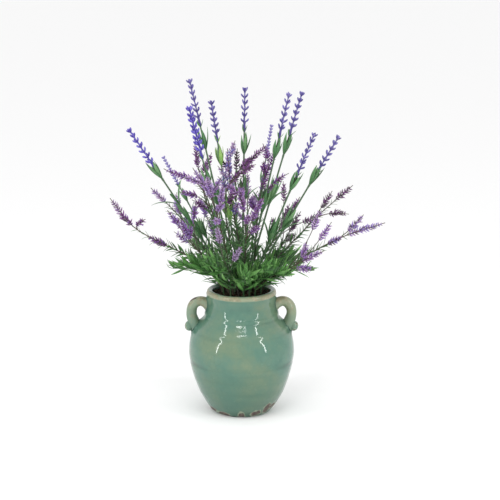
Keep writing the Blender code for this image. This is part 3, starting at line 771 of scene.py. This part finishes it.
green_plastic = moulded_look("green_plastic", GREENS, 0.46, True)
TALL_LEAVES = [1, 2, 3, 4]
LIME_LEAVES = [5, 5, 4]
for number, (root, tip, head, levels) in TALL.items():
    line = leaning(root, tip, TALL_RISE)
    neck = line_length(line) - head * MM
    stem_rows = np.linspace(0, neck + 1 * MM, STALK_ROWS)
    place, _ = read_line(line, stem_rows)
    knots = 1 + 0.45 * sum(np.exp(-(((stem_rows - neck * level) / (1.6 * MM)) ** 2)) for level in levels)
    shades = LIME_LEAVES if number == "04" else TALL_LEAVES
    small = number in ("10", "11")
    scale = 0.72 if small else 1.0
    parts = [wire(place, np.linspace(1.55, 1.15, STALK_ROWS) * knots * (0.8 if small else 1), 0, 10)]
    parts.append(whorl(line, neck * levels[0], 5, 43 * scale, 6.6 * scale, 0.30, 0.34, shades))
    above = neck * levels[0] + 3 * MM
    parts.append(whorl(line, above, 3, 36 * scale, 4.8 * scale, 0.42, -0.50, shades, 0.7))
    if number in ("01", "11"):
        parts.append(whorl(line, neck * 0.72, 3, 46 * scale, 4.4 * scale, 0.75, -0.70, shades, 1.1))
        parts.append(whorl(line, neck * 0.56, 4, 40 * scale, 5.2 * scale, 0.40, -0.45, shades, 0.5))
    parts.append(whorl(line, neck * levels[1], 5, 31 * scale, 6.6 * scale, 0.38, 0.50, shades, 0.4))
    parts.append(whorl(line, neck - 1 * MM, 3, 12 * scale, 3.6 * scale, 0.50, 0.20, shades, 0.2))
    points, quads, triangles, uv = join(parts)
    stalk = new_piece("tall_stalk_" + number, points, quads, triangles, green_plastic, uv)
    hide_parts("tall_stem_" + number)

# ---- The tall lavender's flower heads --------------------------------------------------
# Each head is a violet sleeve pushed onto the stalk's end, with six to eight open whorls of
# blunt finger-like florets that curve up round a thin axis. Two of the heads are small and pale,
# with ten finer whorls.
FLORET_ROWS = 6
FLORET_SIDES = 7
WHORL_PITCH = 7.9
SLEEVE = 13.0
BLUES = [
    ((72, 62, 126), (112, 104, 166)), ((82, 74, 138), (134, 126, 184)),
    ((66, 58, 124), (104, 96, 160)), ((92, 84, 150), (150, 142, 196)),
    ((74, 60, 150), (108, 96, 186)), ((86, 72, 164), (124, 112, 200)),
    ((66, 52, 138), (98, 84, 176)), ((94, 84, 170), (134, 126, 206)),
    ((118, 108, 168), (168, 160, 206)), ((132, 122, 182), (184, 176, 216)),
    ((110, 98, 160), (156, 146, 200)), ((124, 116, 176), (176, 170, 214)),
    ((78, 68, 128), (116, 106, 162)), ((90, 80, 140), (130, 120, 176)),
    ((70, 60, 120), (100, 92, 150)), ((98, 88, 150), (142, 132, 188)),
]
VIOLET_TILES, DEEP_TILES, PALE_TILES = [0, 1, 2, 3, 12, 13, 14, 15], [4, 5, 6, 7], [8, 9, 10, 11]


def florets(base, along, out, length, thick, lean, curl, tile, rows=FLORET_ROWS, columns=FLORET_SIDES,
            shape=(0.45, 0.72, 0.98, 1.12, 1.02, 0.55)):
    """Curved fingers, one for each row of base: each leaves at the angle lean from the stem's
    direction and turns by curl towards it, with a radius of thick times its shape by row."""
    count = len(base)
    sizes = (length, thick, lean, curl)
    length, thick, lean, curl = (np.broadcast_to(value, count).astype(float) for value in sizes)
    row = np.linspace(0, 1, rows)
    angle = lean[:, None] - curl[:, None] * row
    heading = along[:, None] * np.cos(angle)[..., None] + out[:, None] * np.sin(angle)[..., None]
    up = out[:, None] * np.cos(angle)[..., None] - along[:, None] * np.sin(angle)[..., None]
    centre = walk(base, heading, length)
    side = np.cross(up, heading)
    cosine, sine = round_corners(columns)
    size = (thick[:, None] * np.interp(row, np.linspace(0, 1, len(shape)), shape) * MM)[..., None]
    tip = centre[:, -1:] + heading[:, -1:] * 0.55 * size[:, -1:, :]
    ends = np.concatenate([centre[:, :1], tip], 1)
    made = loft(centre, side, up, size * cosine, size * sine, ends)
    return *made, tile_map(tile, rows, columns)


violet_plastic = moulded_look("violet_plastic", BLUES, 0.6, False)
for number, (root, tip, head, _) in TALL.items():
    line = leaning(root, tip, TALL_RISE)
    total = line_length(line)
    neck = total - head * MM
    small = number in ("10", "11")
    tiles = PALE_TILES if small else DEEP_TILES if number in ("03", "01") else VIOLET_TILES
    per_whorl = 6 if number == "03" or small else 5 if number == "01" else 4
    finger, thick = (4.6, 0.72) if small else (8.4, 1.3) if number == "03" else (7.6, 1.16)
    pitch = (4.6 if small else WHORL_PITCH) * MM
    sleeve = (4.0 if small else SLEEVE) * MM
    whorls = int(round((total - neck - sleeve) / pitch))
    level = neck + sleeve + (total - neck - sleeve - 4 * MM) * np.arange(whorls) / (whorls - 1)
    level = np.repeat(level, per_whorl)
    place, along = read_line(line, level)
    order = np.repeat(np.arange(whorls), per_whorl)
    angle = 2 * np.pi * (np.tile(np.arange(per_whorl), whorls) + 0.5 * (order % 2)) / per_whorl
    angle = angle + draw.uniform(-0.16, 0.16, len(level)) + float(number)
    out = around(along, angle)
    size = (1.06 - 0.16 * order / whorls) * draw.uniform(0.9, 1.1, len(level))
    lean = draw.uniform(1.0, 1.15, len(level)) - 0.22 * order / whorls
    curl = draw.uniform(0.45, 0.75, len(level))
    tile = draw.choice(tiles, len(level))
    parts = [florets(place, along, out, finger * size, thick * size, lean, curl, tile)]
    crown_place, crown_along = read_line(line, np.full(2, total - 4.5 * MM))
    crown_out = around(crown_along, np.array([0.4, 3.6]))
    parts.append(florets(crown_place, crown_along, crown_out, finger * 0.85, thick * 0.85, 0.25, 0.25,
                         draw.choice(tiles, 2)))
    axis_at = np.linspace(neck, total - 4 * MM, 60)
    place, _ = read_line(line, axis_at)
    into = axis_at - neck
    stops = [0, 1.5, 5, sleeve / MM, sleeve / MM + 3, 99]
    swell = np.interp(into / MM, stops, [1.3, 1.9, 2.1, 1.35, 0.9, 0.75])
    collars = sum(np.exp(-(((axis_at - at) / (1.3 * MM)) ** 2)) for at in np.unique(level))
    parts.append(wire(place, (0.62 if small else 1.0) * (swell + 0.75 * collars), tiles[0], 10))
    points, quads, triangles, uv = join(parts)
    flower = new_piece("tall_flower_" + number, points, quads, triangles, violet_plastic, uv)
    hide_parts("tall_spike_" + number)

# ---- The sprigs' stems -----------------------------------------------------------------
# Nineteen wiry branching sprigs in brown and grey-green plastic, bent outwards by hand. Small
# leaves crowd the foot of each stem and thin out to needles below the flowers.
SPRIGS = {
    "01": ((-27, -4), [(-62, -14, 220), (-112, -22, 249), (-150, -28, 274), (-181, -30, 314)], 48,
           [(0.72, (-132, -42, 287), 20), (0.42, (-130, -38, 262), 34)]),
    "02": ((-20, -3), [(-50, -14, 316), (-107, -22, 354)], 46, [(0.55, (-86, -34, 324), 30)]),
    "03": ((-18, -11), [(-70, -50, 257), (-101, -56, 303)], 30,
           [(0.42, (-84, -72, 294), 38), (0.42, (-62, -78, 318), 28)]),
    "04": ((-12, -18), [(-36, -80, 312), (-65, -92, 370)], 50,
           [(0.6, (-46, -112, 364), 40), (0.5, (-24, -106, 348), 34)]),
    "05": ((-10, 10), [(-52, 44, 300), (-66, 52, 376)], 36, [(0.6, (-42, 50, 362), 28)]),
    "06": ((9, -16), [(-12, -28, 300), (-19, -30, 384)], 44, [(0.62, (-32, -44, 348), 28)]),
    "07": ((-2, 16), [(-8, 50, 290), (-6, 70, 364)], 30, [(0.6, (16, 74, 350), 28)]),
    "08": ((-4, -24), [(-24, -78, 240), (-33, -112, 294)], 32, [(0.3, (2, -80, 258), 28)]),
    "09": ((2, -18), [(6, -60, 270), (-2, -70, 342)], 40, [(0.45, (31, -96, 331), 46)]),
    "10": ((-5, -16), [(-22, -44, 300), (-12, -46, 345), (34, -40, 390)], 44,
           [(0.62, (20, -60, 368), 26)]),
    "11": ((18, -4), [(24, -12, 300), (47, -14, 380)], 60, [(0.6, (66, 4, 342), 26)]),
    "12": ((21, 3), [(92, 18, 262), (156, 22, 321)], 30,
           [(0.5, (128, 44, 308), 30), (0.62, (150, 2, 284), 30)]),
    "13": ((27, -2), [(88, -8, 225), (146, -12, 257), (200, -12, 275)], 52,
           [(0.62, (171, 12, 281), 34), (0.5, (138, -44, 262), 36)]),
    "14": ((18, -13), [(70, -46, 220), (114, -64, 248)], 36,
           [(0.4, (110, -28, 300), 32), (0.55, (124, -50, 285), 30)]),
    "15": ((17, 11), [(56, 36, 230), (84, 54, 276)], 26, [(0.5, (58, 66, 268), 24)]),
    "16": ((-20, 6), [(-78, 30, 262), (-128, 46, 312)], 28, [(0.5, (-96, 66, 290), 28)]),
    "17": ((-9, 19), [(-40, 80, 236), (-62, 124, 282)], 36,
           [(0.45, (-92, 98, 256), 30), (0.5, (-26, 124, 300), 32)]),
    "18": ((3, 22), [(8, 84, 250), (8, 124, 318)], 38, [(0.5, (28, 128, 286), 30)]),
    "19": ((11, 18), [(50, 76, 236), (84, 112, 284)], 34,
           [(0.45, (116, 92, 262), 30), (0.55, (60, 126, 304), 30)]),
}
# How many short extra side spikes each sprig carries
SIDE_SPIKES = {
    "03": 2, "04": 4, "05": 3, "06": 4, "07": 3, "09": 4, "10": 3, "11": 4, "14": 2, "15": 2,
    "16": 2, "17": 2, "18": 2, "19": 2,
}
SIDE_SPIKE = 25
FIRST_SIDE_SPIKE = 0.50
SIDE_SPIKE_STEP = 0.11
BRANCH_BEND = 0.4
LEAFY_COUNT = 40
NEEDLE_COUNT = 34
TWIG_TILES = [10, 11]
NEEDLE_TILES = [12, 13, 14, 15]
LEAFY_TILES = [6, 7, 8, 12, 13]
STEP_RATIO = 1.2


def sprig_lines(root, points, branches, side_spikes):
    """The main line through the sprig's points, its first stretch straight up, and a quadratic
    Bezier for each branch, which leaves the main line along it and bends to its own tip. The
    short side spikes leave it between the branches, turned round it by a random angle."""
    stops = np.concatenate([[[*root, SURFACE]], points]) * MM
    chord = np.linalg.norm(stops[1] - stops[0])
    main = smooth_line(stops, 16, before=stops[1] - [0, 0, STEP_RATIO * chord])
    total = line_length(main)
    lines = [main]
    t = np.linspace(0, 1, 24)[:, None]
    stops = [(share_along, np.array(tip) * MM) for share_along, tip, _ in branches]
    for order in range(side_spikes):
        share_along = FIRST_SIDE_SPIKE + SIDE_SPIKE_STEP * order
        place, along = read_line(main, np.array([total * share_along]))
        out = around(along, draw.uniform(0, 2 * np.pi, 1))
        stops.append((share_along, (place + (along * 0.86 + out * 0.5) * draw.uniform(36, 52) * MM)[0]))
    for share_along, tip in stops:
        (fork,), (along,) = read_line(main, np.array([total * share_along]))
        knee = fork + along * np.linalg.norm(tip - fork) * BRANCH_BEND
        lines.append(fork * (1 - t) ** 2 + 2 * knee * t * (1 - t) + tip * t**2)
    return lines


def stem_leaves(line, first, last, count, long, wide, tiles):
    """Pairs of small leaves up a stem, from long near its foot to short near its flowers."""
    distance = np.repeat(np.linspace(first, last, count // 2), 2)
    place, along = read_line(line, distance)
    fade = 1 - 0.55 * (distance - first) / (last - first)
    angle = np.repeat(np.arange(count // 2) * 1.9, 2) + np.tile([0, np.pi], count // 2)
    out = around(along, angle + draw.uniform(-0.5, 0.5, len(distance)))
    tilt = draw.uniform(0.45, 0.95, len(distance))[:, None]
    heading = along * np.cos(tilt) + out * np.sin(tilt)
    face = along * np.sin(tilt) - out * np.cos(tilt)
    length = long * fade * draw.uniform(0.75, 1.2, len(distance))
    width = wide * fade * draw.uniform(0.85, 1.15, len(distance))
    roll = draw.uniform(-0.9, 0.9, len(distance))[:, None]
    face = face * np.cos(roll) + np.cross(heading, face) * np.sin(roll)
    curl = draw.uniform(-0.8, 0.4, len(distance))
    return leaves(place, heading, face, length, width, curl, draw.choice(tiles, len(distance)), 6, 6)


sprig_paths = {
    number: sprig_lines(root, points, branches, SIDE_SPIKES.get(number, 0))
    for number, (root, points, _, branches) in SPRIGS.items()
}
for number, (root, points, spike, branches) in SPRIGS.items():
    lines = sprig_paths[number]
    main = lines[0]
    bare = line_length(main) - spike * MM
    foot = main[:1] - [[0, 0, SUNK * MM]]
    thinning = np.linspace(1.15, 0.55, len(main) + 1)
    parts = [wire(np.concatenate([foot, main]), thinning, draw.choice(TWIG_TILES), 7)]
    for twig in lines[1:]:
        parts.append(wire(twig, np.linspace(0.8, 0.45, len(twig)), draw.choice(TWIG_TILES), 6))
    parts.append(stem_leaves(main, 10 * MM, bare * 0.72, LEAFY_COUNT, 25.0, 4.6, LEAFY_TILES))
    needles = stem_leaves(main, bare * 0.35, bare * 0.97, NEEDLE_COUNT, 18.0, 2.5, NEEDLE_TILES)
    parts.append(needles)
    points, quads, triangles, uv = join(parts)
    stem = new_piece("sprig_stem_" + number, points, quads, triangles, green_plastic, uv)
    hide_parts("sprig_" + number)

# ---- The sprigs' flowers ---------------------------------------------------------------
# Slim spikes of tiny pointed florets in close whorls, moulded in one with the twig ends and
# brushed in purple, mauve or plum over a darker calyx, each ending in a thin bare tip.
MAUVES = [
    ((100, 66, 132), (168, 126, 200)), ((116, 82, 148), (184, 148, 212)),  # 0 1 purple
    ((126, 102, 160), (192, 170, 220)), ((112, 94, 158), (176, 156, 214)), # 2 3 violet
    ((128, 96, 144), (198, 168, 210)), ((140, 114, 152), (208, 184, 218)), # 4 5 mauve
    ((84, 46, 88), (152, 98, 162)), ((98, 58, 104), (168, 116, 180)),      # 6 7 plum
    ((36, 36, 36), (86, 52, 84)), ((44, 40, 42), (74, 56, 74)),            # 8 9 plum-black
    ((84, 78, 150), (146, 136, 198)), ((96, 88, 160), (160, 150, 206)),    # 10 11 blue
    ((130, 106, 148), (190, 168, 204)), ((142, 120, 158), (200, 182, 212)),  # 12 13 pale lilac
    ((84, 76, 84), (138, 110, 140)), ((92, 90, 88), (150, 126, 150)),      # 14 15 grey mauve
]
SPRIG_SHADES = {
    "01": [0, 6, 7, 14], "02": [0, 1, 7], "03": [0, 1, 2, 6], "04": [1, 2, 4, 5], "05": [6, 7, 4],
    "06": [4, 5, 10, 11], "07": [8, 9, 6], "08": [12, 13, 5], "09": [4, 7, 0], "10": [6, 7, 8],
    "11": [6, 7, 0], "12": [14, 15, 6], "13": [2, 3, 4, 14], "14": [0, 1, 4, 5], "15": [14, 15, 6],
    "16": [2, 4, 5], "17": [0, 1, 3], "18": [4, 5, 2], "19": [14, 7, 6],
}
SPRIG_PITCH = 3.3
SPRIG_FLORET = 7.2
SPRIG_FLORET_THICK = 0.92
SPRIG_WHORL = 6


def spike_florets(line, spike, tiles):
    """A spike on the last stretch of a twig: whorls of six slim florets, each turned by half a gap,
    long near its foot and short at its tip, some left out, with a thin tip of the twig bare."""
    total = line_length(line)
    start = total - spike * MM
    whorls = max(4, int((spike - 4) / SPRIG_PITCH))
    order = np.repeat(np.arange(whorls), SPRIG_WHORL)
    share_up = order / whorls
    distance = start + (spike - 4) * MM * (share_up + draw.uniform(-0.012, 0.012, len(order)))
    place, along = read_line(line, distance)
    angle = 2 * np.pi * (np.tile(np.arange(SPRIG_WHORL), whorls) + (order % 2) / 2) / SPRIG_WHORL
    out = around(along, angle + draw.uniform(-0.35, 0.35, len(order)))
    size = np.interp(share_up, [0, 0.15, 0.5, 0.8, 1], [0.75, 1.0, 0.95, 0.72, 0.5])
    size = size * draw.uniform(0.78, 1.2, len(order))
    lean = draw.uniform(0.85, 1.25, len(order))
    curl = draw.uniform(0.1, 0.6, len(order))
    kept = draw.uniform(size=len(order)) > 0.1
    place, along, out, size, lean, curl = (value[kept] for value in (place, along, out, size, lean, curl))
    return florets(place, along, out, SPRIG_FLORET * size, SPRIG_FLORET_THICK * size, lean, curl,
                   draw.choice(tiles, len(size)), 4, 5, (0.5, 1.1, 0.95, 0.3))


mauve_plastic = moulded_look("mauve_plastic", MAUVES, 0.62, False)
for number, (_, _, spike, branches) in SPRIGS.items():
    tiles = SPRIG_SHADES[number]
    spikes = [spike] + [length for _, _, length in branches] + [SIDE_SPIKE] * SIDE_SPIKES.get(number, 0)
    parts = [spike_florets(line, length, tiles) for line, length in zip(sprig_paths[number], spikes)]
    points, quads, triangles, uv = join(parts)
    bloom = new_piece("sprig_flower_" + number, points, quads, triangles, mauve_plastic, uv)
    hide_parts("sprig_" + number)

# ---- The low leaf sprays ---------------------------------------------------------------
# Eleven short sprays of bright willow-shaped leaves, moulded on thin green stems and pushed in
# round the edge, where they arch out past the lip and half hide the feet of the stalks.
SPRAYS = {
    "01": ((-28, 4), (-96, -6, 208), 2.6),
    "02": ((-25, -14), (-80, -40, 222), 3.0),
    "03": ((-15, -25), (-46, -84, 236), 3.2),
    "04": ((3, -31), (6, -97, 216), 3.2),
    "05": ((11, -27), (38, -86, 226), 3.4),
    "06": ((19, -22), (62, -66, 214), 3.0),
    "07": ((27, -11), (94, -32, 212), 2.4),
    "08": ((28, 8), (92, 40, 216), 2.6),
    "09": ((22, 18), (70, 60, 210), 3.0),
    "10": ((0, 30), (-2, 92, 232), 3.2),
    "11": ((-20, 20), (-66, 66, 222), 3.0),
}
SPRAY_RISE = 34.0
SPRAY_LEAVES = 36
LEAF_TURN = 2.4
WILLOW_TILES = [6, 7, 8, 7, 9, 9]

for number, (root, tip, half_width) in SPRAYS.items():
    line = leaning(root, tip, SPRAY_RISE)
    total = line_length(line)
    parts = [wire(line, np.linspace(1.15, 0.6, len(line)), 8, 7)]
    distance = np.linspace(0.14, 1.0, SPRAY_LEAVES) * total
    place, along = read_line(line, distance)
    turn_by = np.arange(SPRAY_LEAVES) * LEAF_TURN + float(number)
    out = around(along, turn_by + draw.uniform(-0.3, 0.3, SPRAY_LEAVES))
    tilt = np.linspace(1.1, 0.3, SPRAY_LEAVES)[:, None] * draw.uniform(0.7, 1.25, (SPRAY_LEAVES, 1))
    lift = np.array([[0, 0, 1]]) * draw.uniform(0.0, 1.1, (SPRAY_LEAVES, 1))
    heading = unit(along * np.cos(tilt) + out * np.sin(tilt) + lift)
    face = unit(np.cross(np.cross(heading, out), heading))
    roll = draw.uniform(-0.9, 0.9, (SPRAY_LEAVES, 1))
    face = face * np.cos(roll) + np.cross(heading, face) * np.sin(roll)
    length = np.interp(distance / total, [0.1, 0.5, 0.8, 1], [34, 34, 26, 15])
    length = length * draw.uniform(0.8, 1.1, SPRAY_LEAVES)
    width = 1.75 * half_width * np.interp(distance / total, [0, 0.7, 1], [1.0, 1.0, 0.7])
    curl = draw.uniform(-1.1, 0.5, SPRAY_LEAVES)
    tiles = draw.choice(WILLOW_TILES, SPRAY_LEAVES)
    parts.append(leaves(place, heading, face, length, width, curl, tiles, 7, 6))
    points, quads, triangles, uv = join(parts)
    spray = new_piece("leaf_spray_green_" + number, points, quads, triangles, green_plastic, uv)
    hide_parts("leaf_spray_" + number)

boxes = {"cad": cad_box, "visual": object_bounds()}
boxes = {name: [[float(v) for v in corner] for corner in box] for name, box in boxes.items()}
